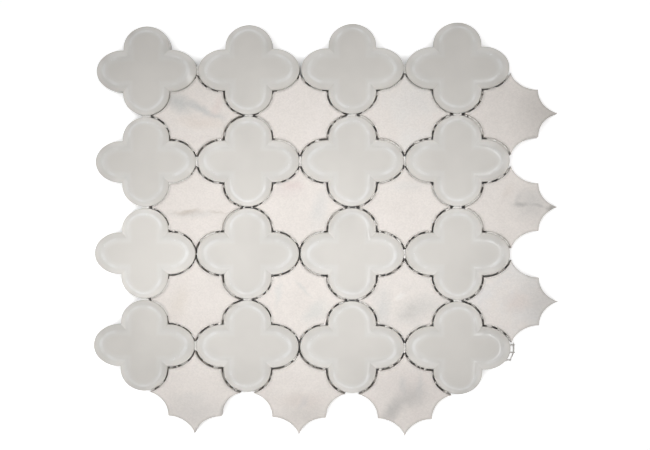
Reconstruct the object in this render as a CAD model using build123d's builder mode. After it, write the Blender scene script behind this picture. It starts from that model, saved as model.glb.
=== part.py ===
from build123d import *

import os
from math import cos, radians, sin

# Interlocking mosaic sheet: bevelled glass quatrefoils and marble stars glued to a fibreglass
# mesh. It lies finished face up with the back of the mesh at z = 0. +X runs along the rows,
# +Y up the columns. Row 1 is the top row and column 1 the left column, as the sheet is laid.

# Pattern, measured between the middles of the joints
columns = 4
rows = 4
pitch_x = 70.0
pitch_y = 62.0
joint = 1.1

# Quatrefoil at the middle of the joint: four oval lobes on short straights, which meet in a
# square notch between each pair of lobes. Each quarter of an oval is a shoulder arc and a tip
# arc, and the shoulder turns through this many degrees.
notch_x = 16.6
notch_y = 14.7
notch_straight = 1.0
shoulder_turn = 45

# Glass and marble pieces have one thickness, so their faces are level
piece_thickness = 8.0

# Bevel ground round the face of each glass piece
bevel_width = 4.7
bevel_drop = 1.8

# Mesh: thickness of the threads in their glue, and how far it stays back from the sheet's edge
mesh_thickness = 0.5
mesh_setback = 2.5

# Where each lobe's straights end and its curve begins
lobe_x = notch_x + notch_straight
lobe_y = notch_y + notch_straight


def lobe_radii(reach, half_width):
    """Radii of a lobe's shoulder and tip arcs, which are tangent where they meet."""
    turn = radians(shoulder_turn)
    difference = (reach - half_width) / (cos(turn) + sin(turn) - 1)
    return half_width + difference * cos(turn), reach - difference * sin(turn)


def quatrefoil(inset):
    """Quatrefoil drawn in from the middle of the joint by the inset; a negative one grows it."""
    side_shoulder, side_tip = lobe_radii(pitch_x / 2 - lobe_x, notch_y)
    upper_shoulder, upper_tip = lobe_radii(pitch_y / 2 - lobe_y, notch_x)
    tip_turn = 90 - shoulder_turn
    with BuildSketch(mode=Mode.PRIVATE) as outline:
        with BuildLine():
            CenterArc((pitch_x / 2 - side_tip, 0), side_tip - inset, 0, tip_turn)
            CenterArc((lobe_x, notch_y - side_shoulder), side_shoulder - inset, tip_turn, shoulder_turn)
            Polyline((lobe_x, notch_y - inset), (notch_x - inset, notch_y - inset),
                     (notch_x - inset, lobe_y))
            CenterArc((notch_x - upper_shoulder, lobe_y), upper_shoulder - inset, 0, shoulder_turn)
            CenterArc((0, pitch_y / 2 - upper_tip), upper_tip - inset, shoulder_turn, tip_turn)
            mirror(about=Plane.YZ)
            mirror(about=Plane.XZ)
        make_face()
    return outline.sketch


def star(gap):
    """What four neighbouring quatrefoils leave of the cell between them, with a gap all round."""
    with BuildSketch(mode=Mode.PRIVATE) as outline:
        Rectangle(pitch_x, pitch_y)
        with GridLocations(pitch_x, pitch_y, 2, 2):
            add(quatrefoil(-gap), mode=Mode.SUBTRACT)
    return outline.sketch


quatrefoil_face = quatrefoil(joint / 2)
star_face = star(joint / 2)

# Sheet size over the pieces. A star hangs over past the last column and the last row, so the
# first piece is placed from the sheet's own edges to keep the origin under the middle.
quatrefoil_reach = quatrefoil_face.bounding_box().max
star_reach = star_face.bounding_box().max
sheet_length = quatrefoil_reach.X + (columns - 0.5) * pitch_x + star_reach.X
sheet_width = quatrefoil_reach.Y + (rows - 0.5) * pitch_y + star_reach.Y
first_x = quatrefoil_reach.X - sheet_length / 2
first_y = sheet_width / 2 - quatrefoil_reach.Y


def quatrefoil_centre(row, column):
    """Centre of a glass piece; rows count down the sheet and columns along it, from zero."""
    return first_x + column * pitch_x, first_y - row * pitch_y


def star_centre(row, column):
    """Centre of the star at the lower right of a glass piece."""
    return first_x + (column + 0.5) * pitch_x, first_y - (row + 0.5) * pitch_y


places = [(row, column) for row in range(rows) for column in range(columns)]
star_places = [place for place in places if place != (rows - 1, columns - 1)]

os.makedirs("parts", exist_ok=True)

# Glass quatrefoils: cut to the outline, then the face is bevelled all round
for row, column in places:
    with BuildPart() as quatrefoil_piece:
        with BuildSketch(Plane.XY.offset(mesh_thickness)):
            with Locations(quatrefoil_centre(row, column)):
                add(quatrefoil_face)
        extrude(amount=piece_thickness)
        polished_face = quatrefoil_piece.faces().sort_by(Axis.Z)[-1]
        chamfer(polished_face.edges(), bevel_width, bevel_drop, reference=polished_face)
    quatrefoil_piece.part.label = f"glass_quatrefoil_r{row + 1}_c{column + 1}"
    export_step(quatrefoil_piece.part, f"parts/{quatrefoil_piece.part.label}.step")

# Marble stars, none at the sheet's lower right corner
for row, column in star_places:
    with BuildPart() as star_piece:
        with BuildSketch(Plane.XY.offset(mesh_thickness)):
            with Locations(star_centre(row, column)):
                add(star_face)
        extrude(amount=piece_thickness)
    star_piece.part.label = f"marble_star_r{row + 1}_c{column + 1}"
    export_step(star_piece.part, f"parts/{star_piece.part.label}.step")

# Mesh backing: one cut sheet. It runs under every joint, follows the outer lobes a little way
# back from their edges, and is cut square behind the points of the overhanging stars.
star_block_x = pitch_x - 2 * notch_x - joint - 2 * mesh_setback
star_block_y = pitch_y - 2 * notch_y - joint - 2 * mesh_setback
with BuildPart() as mesh_backing:
    with BuildSketch():
        with Locations(quatrefoil_centre(0, 0)):
            Rectangle((columns - 0.5) * pitch_x - mesh_setback, (rows - 1) * pitch_y,
                      align=(Align.MIN, Align.MAX))
            Rectangle((columns - 1) * pitch_x, (rows - 0.5) * pitch_y - mesh_setback,
                      align=(Align.MIN, Align.MAX))
        with Locations(*[quatrefoil_centre(*place) for place in places]):
            add(quatrefoil(mesh_setback))
        with Locations(*[star_centre(*place) for place in star_places]):
            Rectangle(star_block_x, star_block_y)
    extrude(amount=mesh_thickness)
mesh_backing.part.label = "mesh_backing"
export_step(mesh_backing.part, "parts/mesh_backing.step")
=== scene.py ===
import math

import bmesh
import bpy
import numpy as np
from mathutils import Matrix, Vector


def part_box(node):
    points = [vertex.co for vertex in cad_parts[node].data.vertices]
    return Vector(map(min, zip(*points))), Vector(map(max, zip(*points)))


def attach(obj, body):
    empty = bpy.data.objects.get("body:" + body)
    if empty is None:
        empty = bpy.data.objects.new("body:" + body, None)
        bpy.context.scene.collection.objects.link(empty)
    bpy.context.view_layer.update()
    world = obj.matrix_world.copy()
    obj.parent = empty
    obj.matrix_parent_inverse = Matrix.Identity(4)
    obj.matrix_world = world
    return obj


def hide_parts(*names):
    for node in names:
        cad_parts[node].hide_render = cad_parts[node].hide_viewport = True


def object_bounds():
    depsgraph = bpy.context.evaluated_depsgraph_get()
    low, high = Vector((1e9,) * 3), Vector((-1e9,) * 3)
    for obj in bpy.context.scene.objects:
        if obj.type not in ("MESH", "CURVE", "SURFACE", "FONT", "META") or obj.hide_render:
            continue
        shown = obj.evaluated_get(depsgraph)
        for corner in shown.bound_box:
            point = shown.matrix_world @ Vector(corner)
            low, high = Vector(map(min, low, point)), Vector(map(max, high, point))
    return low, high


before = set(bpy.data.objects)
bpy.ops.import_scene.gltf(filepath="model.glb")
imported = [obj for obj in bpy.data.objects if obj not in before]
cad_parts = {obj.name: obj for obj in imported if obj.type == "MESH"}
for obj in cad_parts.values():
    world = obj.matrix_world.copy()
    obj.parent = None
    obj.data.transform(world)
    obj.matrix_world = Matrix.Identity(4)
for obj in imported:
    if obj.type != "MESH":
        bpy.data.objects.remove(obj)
cad_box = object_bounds()

# Camera
# The photograph looks almost straight down on the sheet: the camera is a little to the right of its
# middle and below it, and leans three or four degrees back towards the middle.
image_width = 650
focal_length_px = 889.2
sensor_width = 36
camera_data = bpy.data.cameras.new("camera")
camera_data.sensor_width = sensor_width
camera_data.lens = focal_length_px * sensor_width / image_width
camera_data.clip_start = 0.01
camera = bpy.data.objects.new("camera", camera_data)
camera.location = (0.03564, -0.01576, 0.6)
camera.rotation_euler = (0.03004, 0.05765, 0.00241)
bpy.context.scene.collection.objects.link(camera)
bpy.context.scene.camera = camera

# Glass quatrefoils
# Each is one piece of clear float glass with pale grey enamel on its back, cut by water jet. Its
# face is ground and polished to a wide bevel, with a soft ridge where the bevel meets the face.
rows = columns = 4
notch_x, notch_y = 16.6, 14.7
notch_straight = 1.0
shoulder_turn = math.radians(45)
arc_steps = 12
bevel_width, bevel_drop = 4.7, 1.8
rim_radius = 0.35
back_arris = 0.2
ridge_softness = 0.5
bevel_waver = 0.05
side_lobe_widening = 0.2
sharp_edge = math.radians(24)
millimetre = 0.001


def node_middle(name):
    """Middle of a CAD node seen from above, in millimetres."""
    low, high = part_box(name)
    return np.array([low.x + high.x, low.y + high.y]) / 2 / millimetre


glass_low, glass_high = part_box("glass_quatrefoil_r1_c1")
piece_back, piece_face = glass_low.z / millimetre, glass_high.z / millimetre
pitch_x = (node_middle("glass_quatrefoil_r1_c2") - node_middle("glass_quatrefoil_r1_c1"))[0]
pitch_y = (node_middle("glass_quatrefoil_r1_c1") - node_middle("glass_quatrefoil_r2_c1"))[1]
joint = pitch_x - (glass_high.x - glass_low.x) / millimetre


def lobe_arcs(reach, half_width):
    """Shoulder and tip radius of a lobe: two arcs, tangent where they meet, that make a quarter
    of an oval as long as the reach and as high as the half width."""
    spread = (reach - half_width) / (math.cos(shoulder_turn) + math.sin(shoulder_turn) - 1)
    return half_width + spread * math.cos(shoulder_turn), reach - spread * math.sin(shoulder_turn)


side_shoulder, side_tip = lobe_arcs(pitch_x / 2 - notch_x - notch_straight, notch_y)
upper_shoulder, upper_tip = lobe_arcs(pitch_y / 2 - notch_y - notch_straight, notch_x)


def whole_ring(quarter):
    """A closed ring from its quarter between the +X and the +Y axis: the quarter, its mirror
    image in the Y axis, and the half turn of both. The last axis holds x and y."""
    forward, back = quarter[..., :-1, :], quarter[..., :0:-1, :]
    half = np.concatenate([forward, back * [-1, 1]], axis=-2)
    return np.concatenate([half, -half], axis=-2)


def quatrefoil_ring(growth):
    """Outline at the middle of the joint, moved outwards by the growth. Each arc keeps its centre
    and its radius grows, so point = centre + (radius + growth) x (cos, sin) of its angle."""
    low_turn = np.linspace(0, shoulder_turn, arc_steps)
    high_turn = np.linspace(shoulder_turn, math.pi / 2, arc_steps)
    lobe_x, lobe_y = notch_x + notch_straight, notch_y + notch_straight

    def arc(centre, radius, turn):
        return centre + (radius + growth) * np.stack([np.cos(turn), np.sin(turn)], -1)

    return whole_ring(np.concatenate([
        arc((pitch_x / 2 - side_tip, 0), side_tip, low_turn)[:-1],
        arc((lobe_x, notch_y - side_shoulder), side_shoulder, high_turn),
        [[notch_x + growth, notch_y + growth]],
        arc((notch_x - upper_shoulder, lobe_y), upper_shoulder, low_turn)[:-1],
        arc((0, pitch_y / 2 - upper_tip), upper_tip, high_turn),
    ]))


def bevelled_profile():
    """Section of a glass piece, as distances in from its edge and heights: arris at the back, the
    wall, a rim arc of 90 degrees less the bevel's slope, then the lower of the bevel's line and
    the flat face, blended by a polynomial smooth minimum that leaves a soft ridge."""
    wall_ring = 2.5
    face_rings = np.array([0.1, 1.2, 2.4])
    slope = math.atan2(bevel_drop, bevel_width)
    rim = piece_face - bevel_drop
    turn = np.linspace(0, math.pi / 2 - slope, 6)
    arc_height = rim + rim_radius * (math.tan(slope) - 1 / math.cos(slope))
    arc_in = rim_radius * (1 - np.cos(turn))
    arc_z = arc_height + rim_radius * np.sin(turn)
    spread = ridge_softness / math.tan(slope)
    across = np.concatenate([
        np.linspace(arc_in[-1], bevel_width - spread, 5)[1:],
        np.linspace(bevel_width - spread, bevel_width + spread, 13)[1:],
        bevel_width + spread + face_rings,
    ])
    line = rim + across * math.tan(slope)
    blend = np.maximum(ridge_softness - np.abs(line - piece_face), 0) ** 2 / (4 * ridge_softness)
    inset = np.concatenate([[back_arris, 0, 0], arc_in, across])
    height = np.concatenate([
        [piece_back, piece_back + back_arris, piece_back + wall_ring],
        arc_z,
        np.minimum(line, piece_face) - blend,
    ])
    return inset, height


def skin_faces(levels, count):
    """Faces over stacked rings that have the same count of points: quads between neighbouring
    rings, and the fans that close the lowest and the highest ring, from two points after them."""
    here = np.arange(count)
    after = (here + 1) % count
    step = np.arange(levels - 1)[:, None] * count
    quads = np.stack([step + here, step + after, step + count + after, step + count + here], -1)
    top = (levels - 1) * count
    below = np.stack([after, here, np.full(count, levels * count)], -1)
    above = np.stack([top + here, top + after, np.full(count, levels * count + 1)], -1)
    return quads.reshape(-1, 4), below, above


def smooth_piece(name, points, faces, *materials):
    """A smooth mesh object at the origin, from its points in millimetres."""
    mesh = bpy.data.meshes.new(name)
    mesh.from_pydata((points * millimetre).tolist(), [], faces)
    for material in materials:
        mesh.materials.append(material)
    mesh.polygons.foreach_set("use_smooth", np.ones(len(mesh.polygons), bool))
    piece = bpy.data.objects.new(name, mesh)
    bpy.context.scene.collection.objects.link(piece)
    return piece


def closed_piece(name, rings, heights, inset, middle_inset, material, back_material):
    """A skin over the stacked rings, closed by a fan from the middle of the lowest and of the
    highest one. The fan below takes the back's material. Each point keeps its distance in from
    the piece's edge, for the materials."""
    levels, count = rings.shape[:2]
    points = np.concatenate([rings, np.broadcast_to(heights[..., None], (levels, count, 1))], -1)
    middle = rings[0].mean(axis=0)
    caps = np.array([[*middle, heights.min()], [*middle, heights.max()]])
    quads, below, above = skin_faces(levels, count)
    piece = smooth_piece(name, np.concatenate([points.reshape(-1, 3), caps]),
                         quads.tolist() + below.tolist() + above.tolist(), material, back_material)
    index = np.zeros(len(piece.data.polygons), np.int32)
    index[len(quads):len(quads) + count] = 1
    piece.data.polygons.foreach_set("material_index", index)
    piece.data.set_sharp_from_angle(angle=sharp_edge)
    distance = piece.data.attributes.new("inset", "FLOAT", "POINT")
    values = np.concatenate([np.broadcast_to(inset, (levels, count)).ravel(), [0, middle_inset]])
    distance.data.foreach_set("value", values.astype(np.float32))
    return piece


def linear(colour):
    """sRGB hex as linear red, green, blue and a full alpha."""
    parts = [int(colour[i:i + 2], 16) / 255 for i in (1, 3, 5)]
    return (*[p / 12.92 if p <= 0.04045 else ((p + 0.055) / 1.055) ** 2.4 for p in parts], 1)


def add_node(tree, kind, links=None, stops=(), **settings):
    """Adds a node, sets its settings, and gives its sockets a value or a link each. The stops of
    a colour ramp are pairs of place and sRGB colour."""
    made = tree.nodes.new(kind)
    for name, value in settings.items():
        setattr(made, name, value)
    if stops:
        elements = made.color_ramp.elements
        for _ in stops[2:]:
            elements.new(0.5)
        for element, (place, colour) in zip(elements, stops):
            element.position, element.color = place, linear(colour)
    for socket, value in (links or {}).items():
        if isinstance(value, bpy.types.NodeSocket):
            tree.links.new(value, made.inputs[socket])
        else:
            made.inputs[socket].default_value = value
    return made


def new_material(name):
    """A node material and its tree, still empty."""
    material = bpy.data.materials.new(name)
    material.use_nodes = True
    material.node_tree.nodes.clear()
    return material, material.node_tree


def back_enamelled_glass(name, thin_enamel, thick_enamel):
    """Clear float glass with grey enamel behind it. The eye gets the enamel's flat grey under a
    clear gloss, a little lighter or darker as the enamel is thick or thin. The grey has painted
    shade at the rim and a painted highlight past the ridge, and the ridge has painted glints and
    gleams, uneven along it, that fade towards the notches. Through the cut edge the eye looks
    along the glass, which is darker and a little warmer, with painted light that lightens it
    towards the rim."""
    material, tree = new_material(name)
    place = add_node(tree, "ShaderNodeTexCoord").outputs["Object"]
    inset = add_node(tree, "ShaderNodeAttribute", attribute_name="inset").outputs["Fac"]
    # The grey by distance in from the edge: painted shade darkest at the rim, a painted highlight
    # lightest past the ridge
    ramp_width = 8.0
    share = add_node(tree, "ShaderNodeMath", {0: inset, 1: 1 / ramp_width}, operation="MULTIPLY")
    painted_rim_and_ridge_light = add_node(tree, "ShaderNodeValToRGB", {"Fac": share.outputs[0]}, [
        (0.0, "#D4D0CA"),
        (0.5 / ramp_width, "#DEDAD4"),
        (1.2 / ramp_width, "#E3DFD9"),
        (3.4 / ramp_width, "#E3E0DB"),
        (6.2 / ramp_width, "#E8E5E0"),
        (1.0, "#E5E1DB"),
    ])
    # Painted highlight on the ridge: fine painted glints and random patches of painted gleam, mixed
    # towards white
    glint_size = 1.1
    glint_noise = add_node(tree, "ShaderNodeTexNoise", {
        "Vector": place, "Scale": 1 / (glint_size * millimetre), "Detail": 2.0,
    })
    painted_glint = add_node(tree, "ShaderNodeMapRange", {
        "Value": glint_noise.outputs["Fac"], "From Min": 0.6, "From Max": 0.75,
    })
    gleam_size = 8.0
    gleam_noise = add_node(tree, "ShaderNodeTexNoise", {
        "Vector": place, "Scale": 1 / (gleam_size * millimetre), "Detail": 1.0,
    })
    painted_gleam = add_node(tree, "ShaderNodeMapRange", {
        "Value": gleam_noise.outputs["Fac"], "From Min": 0.35, "From Max": 0.65,
        "To Min": 0.08, "To Max": 0.55,
    })
    painted_glint_or_gleam = add_node(tree, "ShaderNodeMath", {0: painted_glint.outputs[0], 1: painted_gleam.outputs[0]},
                        operation="MAXIMUM")
    ridge_core, ridge_reach, ridge_highlight_peak = 0.5, 1.4, 0.8
    from_ridge = add_node(tree, "ShaderNodeMath", {0: inset, 1: bevel_width}, operation="SUBTRACT")
    off_ridge = add_node(tree, "ShaderNodeMath", {0: from_ridge.outputs[0]}, operation="ABSOLUTE")
    on_ridge = add_node(tree, "ShaderNodeMapRange", {
        "Value": off_ridge.outputs[0], "From Min": ridge_reach, "From Max": ridge_core,
        "To Max": ridge_highlight_peak,
    })
    ridge = add_node(tree, "ShaderNodeAttribute", attribute_name="ridge").outputs["Fac"]
    ridge_here = add_node(tree, "ShaderNodeMath", {0: on_ridge.outputs[0], 1: ridge},
                          operation="MULTIPLY")
    painted_highlight_share = add_node(tree, "ShaderNodeMath", {0: painted_glint_or_gleam.outputs[0], 1: ridge_here.outputs[0]},
                        operation="MULTIPLY")
    with_painted_highlight = add_node(tree, "ShaderNodeMix", {0: painted_highlight_share.outputs[0], 6: painted_rim_and_ridge_light.outputs[0],
                                                7: linear("#FFFFFF")}, data_type="RGBA")
    cloud_size = 28.0
    cloud = add_node(tree, "ShaderNodeTexNoise", {
        "Vector": place, "Scale": 1 / (cloud_size * millimetre), "Detail": 2.0,
    })
    cloud_shade = add_node(tree, "ShaderNodeValToRGB", {"Fac": cloud.outputs["Fac"]},
                           [(0.3, thin_enamel), (0.7, thick_enamel)])
    enamel = add_node(tree, "ShaderNodeMix", {
        0: 1.0, 6: with_painted_highlight.outputs[2], 7: cloud_shade.outputs[0],
    }, data_type="RGBA", blend_type="MULTIPLY")
    # The cut edge by height: the enamel at the back, then the dark glass, with painted light that
    # lightens it towards the rim
    height = add_node(tree, "ShaderNodeSeparateXYZ", {0: place}).outputs["Z"]
    rim, rim_blend = (piece_face - bevel_drop) * millimetre, 0.5 * millimetre
    depth = add_node(tree, "ShaderNodeMapRange", {
        "Value": height, "From Min": piece_back * millimetre, "From Max": rim,
    })
    edge_glass_and_painted_light = add_node(tree, "ShaderNodeValToRGB", {"Fac": depth.outputs[0]}, [
        (0.0, "#C9C8C2"),
        (0.07, "#949088"),
        (0.6, "#A8A59E"),
        (1.0, "#BFBCB5"),
    ])
    on_wall = add_node(tree, "ShaderNodeMapRange", {
        "Value": height, "From Min": rim, "From Max": rim - rim_blend,
    })
    colour = add_node(tree, "ShaderNodeMix", {
        0: on_wall.outputs[0], 6: enamel.outputs[2], 7: edge_glass_and_painted_light.outputs[0],
    }, data_type="RGBA")
    ripple_size = 9.0
    ripple = add_node(tree, "ShaderNodeTexNoise", {
        "Vector": place, "Scale": 1 / (ripple_size * millimetre), "Detail": 1.0,
    })
    bump = add_node(tree, "ShaderNodeBump", {
        "Height": ripple.outputs["Fac"], "Strength": 0.3, "Distance": 0.05 * millimetre,
    })
    shader = add_node(tree, "ShaderNodeBsdfPrincipled", {
        "Base Color": colour.outputs[2], "Roughness": 0.08, "IOR": 1.52,
        "Normal": bump.outputs["Normal"],
    })
    add_node(tree, "ShaderNodeOutputMaterial", {"Surface": shader.outputs[0]})
    return material


def fired_enamel():
    """The enamel itself, seen on the back of a glass piece: matt, with a fine orange peel."""
    material, tree = new_material("fired_enamel")
    place = add_node(tree, "ShaderNodeTexCoord").outputs["Object"]
    peel_size = 1.2
    peel = add_node(tree, "ShaderNodeTexNoise", {
        "Vector": place, "Scale": 1 / (peel_size * millimetre), "Detail": 3.0,
    })
    colour = add_node(tree, "ShaderNodeValToRGB", {"Fac": peel.outputs["Fac"]},
                      [(0.3, "#C8C5BF"), (0.7, "#D6D3CD")])
    bump = add_node(tree, "ShaderNodeBump", {
        "Height": peel.outputs["Fac"], "Strength": 0.4, "Distance": 0.05 * millimetre,
    })
    shader = add_node(tree, "ShaderNodeBsdfPrincipled", {
        "Base Color": colour.outputs[0], "Roughness": 0.6, "IOR": 1.5,
        "Normal": bump.outputs["Normal"],
    })
    add_node(tree, "ShaderNodeOutputMaterial", {"Surface": shader.outputs[0]})
    return material


usual_glass = back_enamelled_glass("back_enamelled_glass", "#EFEFEF", "#F7F7F7")
paler_glass = back_enamelled_glass("back_enamelled_glass_paler", "#FBFBFB", "#FFFFFF")
paler_piece = "r3_c1"
enamel = fired_enamel()
profile_inset, profile_height = bevelled_profile()
outline = quatrefoil_ring(0)
outward = quatrefoil_ring(1) - outline
around = np.arctan2(outline[:, 1], outline[:, 0])
# The ridge's painted highlight fades towards the notches
ridge_fade, faintest_ridge = 6.0, 0.15
from_notch = np.hypot(*(np.abs(outline) - [notch_x, notch_y]).T)
ridge_highlight_shown = np.clip(from_notch / ridge_fade, faintest_ridge, 1)

# The unevenness of hand work, from a seed, so that it is the same each time. The bevel wavers, and
# it is wider on the side lobes than on the upper and the lower one.
hand = np.random.default_rng(11)
for row in range(rows):
    for column in range(columns):
        place_name = f"r{row + 1}_c{column + 1}"
        wider = side_lobe_widening * np.cos(2 * around)
        for waves in (3, 7):
            wider += bevel_waver * np.sin(waves * around + hand.uniform(0, 2 * math.pi))
        past_rim = np.maximum(profile_inset - rim_radius, 0)[:, None]
        growth = -joint / 2 - profile_inset[:, None] - past_rim * wider
        rings = outline + growth[..., None] * outward
        glass = closed_piece(
            f"bevelled_glass_{place_name}",
            rings + node_middle(f"glass_quatrefoil_{place_name}"),
            profile_height[:, None], profile_inset[:, None], profile_inset.max(),
            paler_glass if place_name == paler_piece else usual_glass, enamel,
        )
        # Each point keeps its share of the ridge's painted highlight
        ridge = glass.data.attributes.new("ridge", "FLOAT", "POINT")
        values = np.append(np.tile(ridge_highlight_shown, len(rings)), [0, 0])
        ridge.data.foreach_set("value", values.astype(np.float32))
        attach(glass, "root")
        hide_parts(f"glass_quatrefoil_{place_name}")

# Marble stars
# Each is sawn from a white marble tile with soft grey and beige veins and honed to a fine matt
# face. Its sawn edge has a tiny arris, with painted shade along it. There is no star at the lower
# right corner of the sheet.
star_arris = 0.4


def star_ring(gap):
    """Outline of a star, at a gap from the middle of the joint. Each half of a quarter follows
    the lobe of one neighbour, whose radius grows by the gap, from the angle where the lobe crosses
    the star's axis: arccos(tip radius / grown tip radius). The two halves meet in a corner."""

    def half(far_x, far_y, tip, shoulder, notch, lobe):
        start = math.acos(tip / (tip + gap))
        tip_angle = np.linspace(start, shoulder_turn, arc_steps)[:-1]
        turn = np.linspace(shoulder_turn, math.pi / 2, arc_steps)
        tip_arc = np.stack([far_x - (tip + gap) * np.sin(tip_angle),
                            tip - (tip + gap) * np.cos(tip_angle)], -1)
        shoulder_arc = np.stack([far_x - notch + shoulder - (shoulder + gap) * np.sin(turn),
                                 far_y - lobe - (shoulder + gap) * np.cos(turn)], -1)
        return np.concatenate([tip_arc, shoulder_arc])

    to_x_tip = half(pitch_x / 2, pitch_y / 2, upper_tip, upper_shoulder, notch_x,
                    notch_y + notch_straight)
    to_y_tip = half(pitch_y / 2, pitch_x / 2, side_tip, side_shoulder, notch_y,
                    notch_x + notch_straight)
    corner = [[pitch_x / 2 - notch_x - gap, pitch_y / 2 - notch_y - gap]]
    return whole_ring(np.concatenate([to_x_tip, corner, to_y_tip[::-1, ::-1]]))


def marble(name, tint, streaks):
    """Honed white marble. The eye gets a warm white with faint clouds and a fine crystal grain,
    soft streaks of grey or beige mineral across it, and a dim line of painted shade along the
    edges. A streak is its middle, angle, half length, half width, colour and strength."""
    material, tree = new_material(f"honed_marble_{name}")
    place = add_node(tree, "ShaderNodeTexCoord").outputs["Object"]
    middle = node_middle(f"marble_star_{name}") * millimetre
    drift_size, drift = 7.0, 3.2
    swirl = add_node(tree, "ShaderNodeTexNoise", {
        "Vector": place, "Scale": 1 / (drift_size * millimetre), "Detail": 4.0,
    })
    pushed = add_node(tree, "ShaderNodeVectorMath", {
        0: swirl.outputs["Color"], 1: (2 * drift * millimetre,) * 3,
        2: (-drift * millimetre,) * 3,
    }, operation="MULTIPLY_ADD")
    swirled = add_node(tree, "ShaderNodeVectorMath", {0: place, 1: pushed.outputs[0]},
                       operation="ADD")
    cloud_size = 22.0
    cloud = add_node(tree, "ShaderNodeTexNoise", {
        "Vector": place, "Scale": 1 / (cloud_size * millimetre), "Detail": 5.0, "Roughness": 0.6,
    })
    clouded = add_node(tree, "ShaderNodeValToRGB", {"Fac": cloud.outputs["Fac"]},
                       [(0.25, tint), (0.6, "#EEE7E1")])
    colour = clouded.outputs[0]
    for x, y, angle, half_length, half_width, streak_colour, strength in streaks:
        local = add_node(tree, "ShaderNodeMapping", {
            "Vector": swirled.outputs[0],
            "Location": (middle[0] + x * millimetre, middle[1] + y * millimetre, 0),
            "Rotation": (0, 0, math.radians(angle)),
            "Scale": (half_length * millimetre, half_width * millimetre, 1),
        }, vector_type="TEXTURE")
        fade = add_node(tree, "ShaderNodeTexGradient", {"Vector": local.outputs[0]},
                        gradient_type="SPHERICAL")
        soft = add_node(tree, "ShaderNodeMapRange", {
            "Value": fade.outputs["Fac"], "To Max": strength,
        }, interpolation_type="SMOOTHSTEP")
        mixed = add_node(tree, "ShaderNodeMix", {
            0: soft.outputs[0], 6: colour, 7: linear(streak_colour),
        }, data_type="RGBA")
        colour = mixed.outputs[2]
    # The real crystals are finer: these are as coarse as they need to be to show
    crystal_size = 0.9
    crystal = add_node(tree, "ShaderNodeTexVoronoi", {
        "Vector": place, "Scale": 1 / (crystal_size * millimetre),
    })
    crystal_tone = add_node(tree, "ShaderNodeSeparateColor", {0: crystal.outputs["Color"]})
    grain = add_node(tree, "ShaderNodeValToRGB", {"Fac": crystal_tone.outputs[0]},
                     [(0.0, "#F7F7F7"), (1.0, "#FFFFFF")])
    grained = add_node(tree, "ShaderNodeMix", {0: 1.0, 6: colour, 7: grain.outputs[0]},
                       data_type="RGBA", blend_type="MULTIPLY")
    # Painted shade along the edges: the colour darkens towards a grey within a wandering reach in
    # from the edge
    inset = add_node(tree, "ShaderNodeAttribute", attribute_name="inset").outputs["Fac"]
    wander_size, wander_reach = 1.6, 1.2
    edge_shade_full, edge_shade_reach, edge_shade_share = 0.4, 2.4, 0.42
    wander = add_node(tree, "ShaderNodeTexNoise", {
        "Vector": place, "Scale": 1 / (wander_size * millimetre), "Detail": 2.0,
    })
    wandered = add_node(tree, "ShaderNodeMath", {
        0: wander.outputs["Fac"], 1: wander_reach, 2: inset,
    }, operation="MULTIPLY_ADD")
    painted_edge_shade = add_node(tree, "ShaderNodeMapRange", {
        "Value": wandered.outputs[0], "From Min": edge_shade_full, "From Max": edge_shade_reach,
        "To Min": edge_shade_share, "To Max": 0.0,
    }, interpolation_type="SMOOTHSTEP")
    with_painted_edge_shade = add_node(tree, "ShaderNodeMix", {
        0: painted_edge_shade.outputs[0], 6: grained.outputs[2], 7: linear("#A39E97"),
    }, data_type="RGBA")
    bump = add_node(tree, "ShaderNodeBump", {
        "Height": crystal_tone.outputs[0], "Strength": 0.25, "Distance": 0.05 * millimetre,
    })
    shader = add_node(tree, "ShaderNodeBsdfPrincipled", {
        "Base Color": with_painted_edge_shade.outputs[2], "Roughness": 0.42, "IOR": 1.55,
        "Normal": bump.outputs["Normal"],
    })
    add_node(tree, "ShaderNodeOutputMaterial", {"Surface": shader.outputs[0]})
    return material


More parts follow.
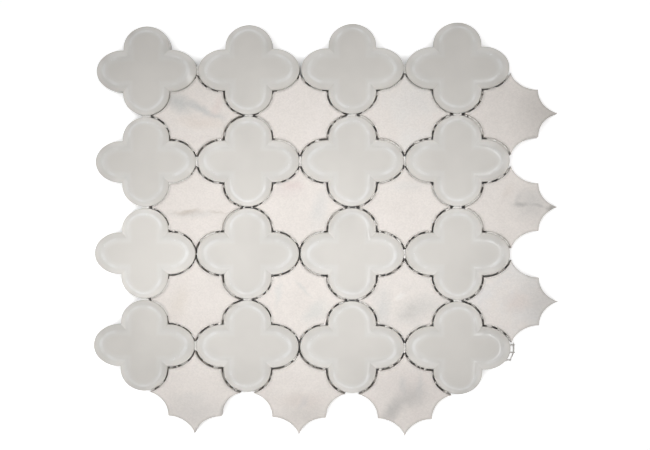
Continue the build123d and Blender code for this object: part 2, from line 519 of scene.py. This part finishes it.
# Tint and streaks of each star, in millimetres and degrees from its own middle
plain_tint = "#E7E0DA"
star_veins = {
    "r1_c1": (plain_tint, [
        (-12, 9, -35, 18, 10, "#C9C9C6", 0.8), (2, 5, -32, 17, 5, "#BFC0BF", 0.6),
        (13, -0.5, -18, 12, 4, "#C9C8C6", 0.5), (2, -5, -6, 24, 6.5, "#E7DCD3", 0.7),
        (14, 6, 70, 12, 6, "#E6D8D2", 0.6),
    ]),
    "r1_c2": ("#F3ECE7", []),
    "r1_c3": ("#EDEAE6", [(8, 8, 0, 18, 12, "#E7E3DF", 0.6)]),
    "r1_c4": (plain_tint, [(24, 0, 90, 40, 32, "#CDC7C1", 0.8)]),
    "r2_c1": (plain_tint, [
        (-6, -3.6, 2, 14, 3.0, "#BCA690", 0.55), (-3, -4.6, 0, 24, 4.5, "#CFCCC8", 0.45),
        (14, -3.4, 0, 10, 1.2, "#C9BFB4", 0.5),
    ]),
    "r2_c2": (plain_tint, [
        (-8, 11, 10, 18, 8, "#E6DBD7", 0.5), (13, -2, 80, 20, 9, "#DCDBD8", 0.6),
        (-5, 15, 0, 12, 5, "#DFCBC7", 0.4),
    ]),
    "r2_c3": (plain_tint, [(2, 14, 0, 20, 6, "#DEDEDB", 0.3)]),
    "r2_c4": (plain_tint, [
        (14, 3, 10, 20, 17, "#CDCAC6", 0.65), (6, 1.2, -4, 8, 2.6, "#84817D", 0.42),
        (4, 6, 60, 8, 3, "#BAB7B4", 0.25), (17, 0.6, -6, 6, 2.0, "#918E8A", 0.35),
        (26.5, -0.4, 8, 6.5, 3.4, "#7E7B76", 0.65), (-2, 10, 60, 9, 5, "#DED4CC", 0.5),
    ]),
    "r3_c1": (plain_tint, [(-11, -2, 75, 20, 9, "#E2D9CF", 0.55)]),
    "r3_c2": (plain_tint, [
        (11, -8, 50, 15, 9, "#D6D7D3", 0.6), (2, 8, -45, 12, 2, "#D4D4D1", 0.45),
        (-14, 4, 80, 12, 4, "#DCDCD9", 0.5),
    ]),
    "r3_c3": ("#E0DCD7", [
        (7, -6, 20, 22, 14, "#D4D1CC", 0.7), (-15, -6, 80, 16, 9, "#D6D5D2", 0.6),
        (5, -5, 15, 6, 3.5, "#BBB5AF", 0.2), (2, -9.5, 5, 8, 4, "#B9B2AC", 0.2),
        (-3, 3.5, 40, 6, 3.5, "#F6F3EF", 0.6),
    ]),
    "r3_c4": ("#E8E7E6", [
        (22, 0, 90, 36, 26, "#CDC9C5", 0.7), (3, -1, 10, 14, 10, "#E0D2CB", 0.5),
    ]),
    "r4_c1": (plain_tint, [
        (0, -14, 0, 36, 16, "#D7D3CF", 0.5), (-3, -3, 0, 18, 6, "#DCD8D4", 0.4),
    ]),
    "r4_c2": (plain_tint, [
        (1, -5, 0, 26, 9, "#DDD3CC", 0.6), (3, -14, 5, 26, 10, "#D4CEC8", 0.55),
        (3, -6, 60, 8, 3, "#CFCCCB", 0.4),
    ]),
    "r4_c3": ("#E9DFD9", [
        (4, 4, 0, 34, 26, "#D5CFCB", 0.45),
        (-8, -10, 48, 16, 8, "#B3B0AD", 0.65), (4, -1, 20, 16, 11, "#C0BCB8", 0.65),
        (10, 6, 80, 11, 3.5, "#CBC9C6", 0.5), (-1, 6, 85, 10, 4, "#CBC9C6", 0.5),
    ]),
}

# The last ring is just past the arris, because the points of a star would cross further in, and
# the middle of the face counts as this far from the edge
last_ring, star_middle = 0.43, 17.0
arris_turn = np.linspace(0, math.pi / 2, 5)
star_inset = np.concatenate([[back_arris, 0], star_arris * (1 - np.cos(arris_turn)), [last_ring]])
star_height = np.concatenate([
    [piece_back, piece_back + back_arris],
    piece_face - star_arris * (1 - np.sin(arris_turn)),
    [piece_face],
])
star_rings = np.stack([star_ring(joint / 2 + inset) for inset in star_inset])
for name, (tint, streaks) in star_veins.items():
    material = marble(name, tint, streaks)
    star = closed_piece(
        f"honed_star_{name}", star_rings + node_middle(f"marble_star_{name}"),
        star_height[:, None], star_inset[:, None], star_middle, material, material,
    )
    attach(star, "root")
    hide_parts(f"marble_star_{name}")

# Fibreglass mesh
# White glass yarn, woven open at 5 mm and stiffened with resin, cut 2.5 mm inside the pieces' outer
# edges. The cut missed two loops, which stick out past the side lobe of the last glass piece.
yarn_pitch = 5.0
yarn_half_width, yarn_half_thickness = 0.42, 0.11
yarn_rise = 0.12
mesh_setback = 2.5
samples_per_cell = 3
yarn_sides = 6
weld_distance = 0.002

# The loops' outer yarn and their upper one, from which all the others lie at whole pitches, and
# where the lean of the outer yarn starts
loop_x, loop_y = 126.9, -77.5
loop_cells, loop_margin = 2, 0.5
loop_root, loop_lean = 122.0, 0.5

sheet_low = np.array(cad_box[0])[:2] / millimetre
sheet_high = np.array(cad_box[1])[:2] / millimetre
mesh_low, mesh_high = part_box("mesh_backing")
mesh_middle = (mesh_low.z + mesh_high.z) / 2 / millimetre
first = node_middle("glass_quatrefoil_r1_c1")
last = node_middle("glass_quatrefoil_r4_c4")


def on_mesh(x, y):
    """Where the cut mesh is: inside the quatrefoils less the setback, in the core between them,
    behind the middles of the stars, and in the loops that the cut missed. A place is folded into
    one quarter of its nearest quatrefoil and set against the height of the outline there."""
    column = np.clip(np.round((x - first[0]) / pitch_x), 0, columns - 1)
    row = np.clip(np.round((first[1] - y) / pitch_y), 0, rows - 1)
    from_x = np.abs(x - first[0] - column * pitch_x)
    from_y = np.abs(y - first[1] + row * pitch_y)
    quarter = quatrefoil_ring(-mesh_setback)[:len(outline) // 4 + 1]
    inside = from_y < np.interp(from_x, quarter[::-1, 0], quarter[::-1, 1], right=-1)
    core = (x > first[0]) & (y < first[1])
    inside |= core & (x < last[0] + pitch_x / 2 - mesh_setback) & (y > last[1])
    inside |= core & (x < last[0]) & (y > last[1] - pitch_y / 2 + mesh_setback)
    star_column = np.clip(np.floor((x - first[0]) / pitch_x), 0, columns - 1)
    star_row = np.clip(np.floor((first[1] - y) / pitch_y), 0, rows - 1)
    across = np.abs(x - first[0] - (star_column + 0.5) * pitch_x)
    along = np.abs(y - first[1] + (star_row + 0.5) * pitch_y)
    block = (across < pitch_x / 2 - notch_x - joint / 2 - mesh_setback)
    block &= (along < pitch_y / 2 - notch_y - joint / 2 - mesh_setback)
    inside |= block & ~((star_column == columns - 1) & (star_row == rows - 1))
    loops = (x > last[0]) & (x < loop_x + loop_margin) & (y < loop_y + loop_margin)
    loops &= y > loop_y - loop_cells * yarn_pitch - loop_margin
    return inside | loops


def woven_yarns(name, lines, cross_lines, start, end, turned, material):
    """Flat yarns side by side: an ellipse carried along each line, whose height is the cosine of
    the way along it, one half wave to a cell, so it goes over one cross yarn and under the next.
    A yarn is drawn to a point where the mesh is cut. The outer yarn of the loops leans back in:
    below the first loop its x falls by a share of the way. Turned yarns run along Y."""
    way, line = np.meshgrid(np.arange(start, end, yarn_pitch / samples_per_cell), lines)
    kept = on_mesh(line, way) if turned else on_mesh(way, line)
    phase = (way - cross_lines[0]) / yarn_pitch + np.arange(len(lines))[:, None] + turned
    height = mesh_middle + yarn_rise * np.cos(math.pi * phase)
    turn = np.arange(yarn_sides) * 2 * math.pi / yarn_sides
    across = line[..., None] + kept[..., None] * yarn_half_width * np.cos(turn)
    up = height[..., None] + kept[..., None] * yarn_half_thickness * np.sin(turn)
    along = np.broadcast_to(way[..., None], across.shape)
    x, y = (across, along) if turned else (along, across)
    loose = np.clip((x - loop_root) / (loop_x - loop_root), 0, 1)
    x = x - loose * loop_lean * np.clip(loop_y - yarn_pitch - y, 0, yarn_pitch)
    here = np.arange(yarn_sides)
    after = (here + 1) % yarn_sides
    number = np.arange(line.size).reshape(line.shape) * yarn_sides
    shown = kept[:, :-1] | kept[:, 1:]
    low, high = number[:, :-1][shown][:, None], number[:, 1:][shown][:, None]
    faces = np.stack([low + here, high + here, high + after, low + after], -1).reshape(-1, 4)
    if not turned:
        faces = faces[:, ::-1]
    used, faces = np.unique(faces, return_inverse=True)
    points = np.stack([x, y, up], -1).reshape(-1, 3)[used]
    piece = smooth_piece(name, points, faces.reshape(-1, 4).tolist(), material)
    woven = bmesh.new()
    woven.from_mesh(piece.data)
    bmesh.ops.remove_doubles(woven, verts=woven.verts, dist=weld_distance * millimetre)
    woven.to_mesh(piece.data)
    woven.free()
    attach(piece, "root")
    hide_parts("mesh_backing")


def resined_yarn():
    """Glass yarn in alkali-proof resin. The eye gets a dull white with fine filaments along it."""
    material, tree = new_material("resined_glass_yarn")
    place = add_node(tree, "ShaderNodeTexCoord").outputs["Object"]
    # The real filaments are finer: these are as coarse as they need to be to show
    filament_size = 0.3
    filament = add_node(tree, "ShaderNodeTexNoise", {
        "Vector": place, "Scale": 1 / (filament_size * millimetre), "Detail": 2.0,
    })
    colour = add_node(tree, "ShaderNodeValToRGB", {"Fac": filament.outputs["Fac"]},
                      [(0.35, "#CFCCC6"), (0.65, "#E6E4DF")])
    bump = add_node(tree, "ShaderNodeBump", {
        "Height": filament.outputs["Fac"], "Strength": 0.5, "Distance": 0.05 * millimetre,
    })
    shader = add_node(tree, "ShaderNodeBsdfPrincipled", {
        "Base Color": colour.outputs[0], "Roughness": 0.7, "Normal": bump.outputs["Normal"],
    })
    add_node(tree, "ShaderNodeOutputMaterial", {"Surface": shader.outputs[0]})
    return material


yarn_material = resined_yarn()
warp_lines = np.concatenate([np.arange(loop_x, sheet_low[0], -yarn_pitch)[::-1],
                             np.arange(loop_x + yarn_pitch, sheet_high[0], yarn_pitch)])
weft_lines = np.concatenate([np.arange(loop_y, sheet_low[1], -yarn_pitch)[::-1],
                             np.arange(loop_y + yarn_pitch, sheet_high[1], yarn_pitch)])
woven_yarns("mesh_warp", warp_lines, weft_lines, sheet_low[1], sheet_high[1], True, yarn_material)
woven_yarns("mesh_weft", weft_lines, warp_lines, sheet_low[0], sheet_high[0], False, yarn_material)

# Dried glue
# White wood glue that fixes the mesh to the backs. It has squeezed up into the joints wherever a
# yarn crosses one, and it fills them where the pieces were pushed tight against each other.
glue_low, glue_crown, wall_overlap = 0.3, 0.02, 0.02
bead_half_width = joint / 2 + wall_overlap
crossing_half_length, filled_half_length = (0.5, 0.9), 0.9
path_step, steps_to_bead = 0.25, 3
notch_clear = 1.6

# Lengths of the open and the filled runs of a joint, and the heights that the glue's top reaches
open_run, filled_run = (2.0, 9.0), (1.0, 4.5)
crossing_top, run_top = (1.5, 6.6), (5.4, 6.8)
full_top, top_row_top, uneven_top = 6.65, 6.0, 0.25

# The joint's middle round a glass piece in even steps: the way along it, the places, the direction
# there, and the angle from the middle of the piece in degrees
closed_outline = np.vstack([outline, outline[:1]])
run = np.concatenate([[0], np.cumsum(np.hypot(*np.diff(closed_outline, axis=0).T))])
way = np.arange(0, run[-1], path_step)
path = np.stack([np.interp(way, run, closed_outline[:, axis]) for axis in (0, 1)], -1)
along_path = np.roll(path, -1, axis=0) - np.roll(path, 1, axis=0)
along_path /= np.hypot(*along_path.T)[:, None]
path_turn = np.degrees(np.arctan2(path[:, 1], path[:, 0]))

# Stretches where a joint is full of glue: row, column, and the directions from the middle of
# that glass piece between which its edge is glued up, in degrees
full_stretches = [
    (1, 1, -84, -8), (1, 2, -76, -47), (1, 2, -36, -12), (1, 3, -157, -145), (1, 3, -116, -106),
    (1, 3, -38, -14), (1, 4, -172, -145), (1, 4, -132, -100), (2, 1, -80, -16), (2, 2, -68, -54),
    (2, 2, 14, 36), (2, 2, 60, 78), (2, 3, -100, -84), (2, 3, -36, -28), (2, 3, 12, 34),
    (2, 3, 60, 84), (2, 4, -168, -142), (2, 4, -132, -102), (2, 4, -84, -56), (2, 4, 6, 36),
    (2, 4, 47, 76), (3, 1, -82, -47), (3, 2, -128, -108), (3, 2, 110, 136), (3, 2, 148, 166),
    (3, 3, -164, -146), (3, 3, -108, -76), (3, 3, 84, 100), (3, 3, 146, 166), (3, 4, 6, 36),
    (3, 4, 47, 82), (4, 1, 52, 80), (4, 3, 76, 100),
]
# Where two lobes touch, the glue fills the joint to this many degrees either side, but not at the
# open contacts, which are to the right of a piece or below it. Beside each contact it leaves a
# hole at the point of the star, between these degrees from the contact.
contact_spread, tip_hole = 7, (4.5, 10)
open_contacts = [(1, 2, "right"), (3, 1, "right"), (3, 2, "right"), (4, 2, "right"),
                 (2, 2, "below"), (2, 3, "below"), (3, 3, "below")]


def beside_star(row, column):
    """Where the edge of a glass piece has a star beside it, away from its notches."""
    star_row = np.where(path[:, 1] > 0, row - 1, row)
    star_column = np.where(path[:, 0] > 0, column, column - 1)
    no_star = (star_row < 0) | (star_column < 0)
    no_star |= (star_row == rows - 1) & (star_column == columns - 1)
    at_notch = np.hypot(*(np.abs(path) - [notch_x, notch_y]).T) < notch_clear
    return ~no_star & ~at_notch


def filled_edge(row, column, joined):
    """Height of the glue along the edge of a glass piece, zero where its joint is open: runs of
    random length and height where it is joined, then the stretches that are full."""
    fill = np.zeros(len(path))
    reached = hand.uniform(0, open_run[1])
    while reached < run[-1]:
        length = hand.uniform(*filled_run)
        fill[(way > reached) & (way < reached + length)] = hand.uniform(*run_top)
        reached += length + hand.uniform(*open_run)
    fill *= joined
    for at_row, at_column, start, end in full_stretches:
        if (at_row, at_column) == (row + 1, column + 1):
            fill[(path_turn > start) & (path_turn < end)] = full_top
    return fill


beads = []
for row in range(rows):
    for column in range(columns):
        middle = node_middle(f"glass_quatrefoil_r{row + 1}_c{column + 1}")
        joined = beside_star(row, column)
        fill = filled_edge(row, column, joined)
        cell = np.floor((path + middle - [loop_x, loop_y]) / yarn_pitch)
        crossed = np.any(cell != np.roll(cell, 1, axis=0), axis=1) & joined
        # Direction of each contact, the name that it goes by, and whether a piece is there
        for contact, owner, shared in (
            (0, (row + 1, column + 1, "right"), column + 1 < columns),
            (180, (row + 1, column, "right"), column > 0),
            (-90, (row + 1, column + 1, "below"), row + 1 < rows),
            (90, (row, column + 1, "below"), row > 0),
        ):
            away = np.abs((path_turn - contact + 180) % 360 - 180)
            fill[away < contact_spread] = full_top if shared and owner not in open_contacts else 0
            fill[(away > tip_hole[0]) & (away < tip_hole[1])] = 0
            crossed &= shared | (away > contact_spread)
        if row == 0:
            fill = np.minimum(fill, top_row_top)
        for index in np.flatnonzero(crossed):
            beads.append((*(path[index] + middle), *along_path[index],
                          hand.uniform(*crossing_half_length), hand.uniform(*crossing_top)))
        uneven = hand.uniform(-uneven_top, uneven_top, len(path))
        for index in np.flatnonzero(fill)[::steps_to_bead]:
            beads.append((*(path[index] + middle), *along_path[index], filled_half_length,
                          fill[index] + uneven[index]))


def squeezed_glue(beads, around=8):
    """Rings of a lump for each bead, its lowest point and its crown. A ring is an ellipse along the
    joint, drawn in towards the top by a share of its size at a share of the bead's height. A bead
    is its place, the joint's direction there, its half length and the height of its top."""
    shrink = np.array([1, 1, 0.98, 0.92])
    rise = np.array([0, 0.9, 0.97, 1.0])
    turn = np.arange(around) * 2 * math.pi / around
    x, y, tangent_x, tangent_y, half_length, top = np.array(beads).T[..., None, None]
    forward = half_length * shrink[:, None] * np.cos(turn)
    sideways = bead_half_width * shrink[:, None] * np.sin(turn)
    height = np.broadcast_to(glue_low + (top - glue_low) * rise[:, None], forward.shape)
    rings = np.stack([x + forward * tangent_x - sideways * tangent_y,
                      y + forward * tangent_y + sideways * tangent_x, height], -1)
    place = np.stack([x, y], -1)[:, 0, 0]
    low = np.column_stack([place, np.full(len(place), glue_low)])
    return rings, low, np.column_stack([place, top[:, 0, 0] + glue_crown])


def glue_dabs(places, around=20):
    """Rings of a flat dome for each dab on the back of a piece, its lowest and its highest point.
    A ring is a circle whose radius waves three and five times round it. The dome is thick in the
    middle and falls to nothing as the square of the way out, then closes inside the piece. A dab
    is its place, its radius, and where its waves start."""
    x, y, radius, wave, other_wave = np.array(places).T[..., None, None]
    dome = np.array([0.35, 0.7, 0.9, 1.0])
    share = np.append(dome, 0.95)[:, None]
    depth = np.append(dab_thickness * (1 - dome ** 2), 0)[:, None]
    turn = np.arange(around) * 2 * math.pi / around
    three_waves, five_waves = 0.14, 0.09
    waver = three_waves * np.sin(3 * turn + wave) + five_waves * np.sin(5 * turn + other_wave)
    reach = radius * share * (1 + waver)
    height = np.broadcast_to(piece_back - depth, reach.shape)
    rings = np.stack([x + reach * np.cos(turn), y + reach * np.sin(turn), height], -1)
    place = np.stack([x, y], -1)[:, 0, 0]
    low = np.column_stack([place, np.full(len(place), piece_back - dab_thickness)])
    return rings, low, np.column_stack([place, np.full(len(place), piece_back + dab_sunk)])


def glue_piece(name, lumps, material):
    """A closed skin over the rings of each lump and its lowest and highest point."""
    rings, low, high = lumps
    count, levels, around = rings.shape[:3]
    points = np.concatenate([rings.reshape(count, -1, 3), low[:, None], high[:, None]], 1)
    quads, below, above = skin_faces(levels, around)
    shift = np.arange(count)[:, None, None] * points.shape[1]
    faces = (quads + shift).reshape(-1, 4).tolist()
    faces += (np.concatenate([below, above]) + shift).reshape(-1, 3).tolist()
    piece = smooth_piece(name, points.reshape(-1, 3), faces, material)
    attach(piece, "root")
    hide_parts("mesh_backing")


def white_glue():
    """Dried wood glue. The eye gets a slightly yellow white with a dull skin."""
    material, tree = new_material("dried_wood_glue")
    place = add_node(tree, "ShaderNodeTexCoord").outputs["Object"]
    skin_size = 2.0
    skin = add_node(tree, "ShaderNodeTexNoise", {
        "Vector": place, "Scale": 1 / (skin_size * millimetre), "Detail": 3.0,
    })
    colour = add_node(tree, "ShaderNodeValToRGB", {"Fac": skin.outputs["Fac"]},
                      [(0.35, "#E4E1DC"), (0.65, "#F3F1EE")])
    shader = add_node(tree, "ShaderNodeBsdfPrincipled", {
        "Base Color": colour.outputs[0], "Roughness": 0.5,
    })
    add_node(tree, "ShaderNodeOutputMaterial", {"Surface": shader.outputs[0]})
    return material


# Dabs behind each piece: one in the middle and one in each lobe, or towards each corner of a star
dab_thickness, dab_sunk = 0.4, 0.01
dab_scatter, dab_radius = 1.0, (4, 6.5)
glass_dabs = [(0, 0), (22, 0), (-22, 0), (0, 19), (0, -19)]
star_dabs = [(0, 0), (10, 8), (-10, 8), (-10, -8), (10, -8)]
places = []
for names, offsets in (("glass_quatrefoil", glass_dabs), ("marble_star", star_dabs)):
    for row in range(rows):
        for column in range(columns):
            if names == "marble_star" and row == column == rows - 1:
                continue
            middle = node_middle(f"{names}_r{row + 1}_c{column + 1}")
            for offset in offsets:
                spot = middle + offset + hand.uniform(-dab_scatter, dab_scatter, 2)
                places.append((*spot, hand.uniform(*dab_radius), *hand.uniform(0, 2 * math.pi, 2)))

glue_material = white_glue()
glue_piece("squeezed_glue", squeezed_glue(beads), glue_material)
glue_piece("glue_dabs", glue_dabs(places), glue_material)

# Floor and light
# A white table under an even white sky, white cards that the polish mirrors, and three soft lamps
# that aim a little left of the sheet's middle and below it, so the light falls off towards the
# corners as in the photograph.
floor_reach = 4.0


def stage_panel(name, middle, along, across, material):
    """A flat panel of the stage: its corners are the middle plus or minus each half side."""
    corners = np.array([(-1, -1), (1, -1), (1, 1), (-1, 1)]) @ [along, across] + middle
    mesh = bpy.data.meshes.new(name)
    mesh.from_pydata(corners.tolist(), [], [(0, 1, 2, 3)])
    mesh.materials.append(material)
    panel = bpy.data.objects.new(name, mesh)
    bpy.context.scene.collection.objects.link(panel)
    return panel


def white_table():
    """Matt white laminate that the camera sees as white. The shade below and beside the sheet
    stays, because the table's glow fades where the walls of the pieces close in on it."""
    material, tree = new_material("white_table")
    shade_reach = 12.0
    shut_in, clear_of_sheet, full_glow = 0.05, 0.7, 0.65
    rays = add_node(tree, "ShaderNodeLightPath").outputs
    seen = add_node(tree, "ShaderNodeMath", {0: rays["Is Camera Ray"], 1: rays["Is Glossy Ray"]},
                    operation="MAXIMUM")
    open_sky = add_node(tree, "ShaderNodeAmbientOcclusion", {
        "Distance": shade_reach * millimetre,
    }, samples=16)
    clear = add_node(tree, "ShaderNodeMapRange", {
        "Value": open_sky.outputs["AO"], "From Min": shut_in, "From Max": clear_of_sheet,
        "To Max": full_glow,
    })
    glow = add_node(tree, "ShaderNodeMath", {0: seen.outputs[0], 1: clear.outputs[0]},
                    operation="MULTIPLY")
    matt = add_node(tree, "ShaderNodeBsdfDiffuse", {"Color": linear("#EBEBEB")})
    white = add_node(tree, "ShaderNodeEmission", {"Strength": glow.outputs[0]})
    both = add_node(tree, "ShaderNodeAddShader", {0: matt.outputs[0], 1: white.outputs[0]})
    add_node(tree, "ShaderNodeOutputMaterial", {"Surface": both.outputs[0]})
    return material


def lit_card(name, glow):
    """White card that glows evenly, as a lit diffuser does."""
    material, tree = new_material(name)
    light = add_node(tree, "ShaderNodeEmission", {"Strength": glow})
    add_node(tree, "ShaderNodeOutputMaterial", {"Surface": light.outputs[0]})
    return material


stage_panel("floor", (0, 0, 0), (floor_reach, 0, 0), (0, floor_reach, 0), white_table())

# An even sky, full white to the eye and in the polish, and weaker as a light on the sheet
world = bpy.data.worlds.new("studio")
bpy.context.scene.world = world
world.use_nodes = True
sky = world.node_tree
sky.nodes.clear()
sky_rays = add_node(sky, "ShaderNodeLightPath").outputs
sky_seen = add_node(sky, "ShaderNodeMath", {0: sky_rays["Is Camera Ray"],
                                            1: sky_rays["Is Glossy Ray"]}, operation="MAXIMUM")
fill_light = 0.384
sky_strength = add_node(sky, "ShaderNodeMapRange", {"Value": sky_seen.outputs[0],
                                                    "To Min": fill_light, "To Max": 1.0})
sky_light = add_node(sky, "ShaderNodeBackground", {
    "Color": linear("#FFFFFF"), "Strength": sky_strength.outputs[0],
})
add_node(sky, "ShaderNodeOutputWorld", {"Surface": sky_light.outputs[0]})

# White cards that only the polish mirrors: one beyond each side of the picture for the bevels that
# face it, and one high on the right for the ridges. Each has its side, its lean away from the
# vertical, its distance, half its length and width, and its glow.
for name, side, lean, distance, half_length, half_width, glow in (
    ("upper_card", 90, 56, 0.8, 0.6, 0.19, 2.9),
    ("lower_card", -90, 50, 0.8, 0.6, 0.21, 2.5),
    ("left_card", 180, 60, 1.5, 1.0, 0.17, 2.5),
    ("right_card", 0, 50, 1.5, 1.0, 0.17, 2.8),
    ("high_card", 0, 14.7, 3.0, 1.0, 0.155, 5.2),
):
    side, lean = math.radians(side), math.radians(lean)
    out = np.array([math.cos(side), math.sin(side), 0])
    middle = distance * (out * math.sin(lean) + [0, 0, math.cos(lean)])
    up = half_width * (-out * math.cos(lean) + [0, 0, math.sin(lean)])
    along = half_length * np.array([-out[1], out[0], 0])
    card = stage_panel(name, middle, along, up, lit_card(name, glow))
    card.visible_camera = card.visible_diffuse = card.visible_shadow = False

# Soft lamps for the colour and the shape, which the polish doesn't mirror
aim = Vector((-0.014, -0.012, 0))
lamp_distance, lamp_rise = 0.9, math.radians(50)
lamp_cone, lamp_size = math.radians(28), 0.12
for name, turn, watts in (("right", 0, 11.3), ("left", 180, 13.3), ("lower_left", 225, 5.3)):
    turn = math.radians(turn)
    towards = Vector((math.cos(turn) * math.cos(lamp_rise),
                      math.sin(turn) * math.cos(lamp_rise), math.sin(lamp_rise)))
    lamp_data = bpy.data.lights.new(f"lamp_{name}", "SPOT")
    lamp_data.energy = watts
    lamp_data.spot_size = lamp_cone
    lamp_data.spot_blend = 1.0
    lamp_data.shadow_soft_size = lamp_size
    lamp = bpy.data.objects.new(f"lamp_{name}", lamp_data)
    lamp.location = aim + towards * lamp_distance
    lamp.rotation_mode = "QUATERNION"
    lamp.rotation_quaternion = towards.to_track_quat("Z", "Y")
    lamp.visible_glossy = False
    bpy.context.scene.collection.objects.link(lamp)

bpy.context.scene.view_settings.view_transform = "Standard"
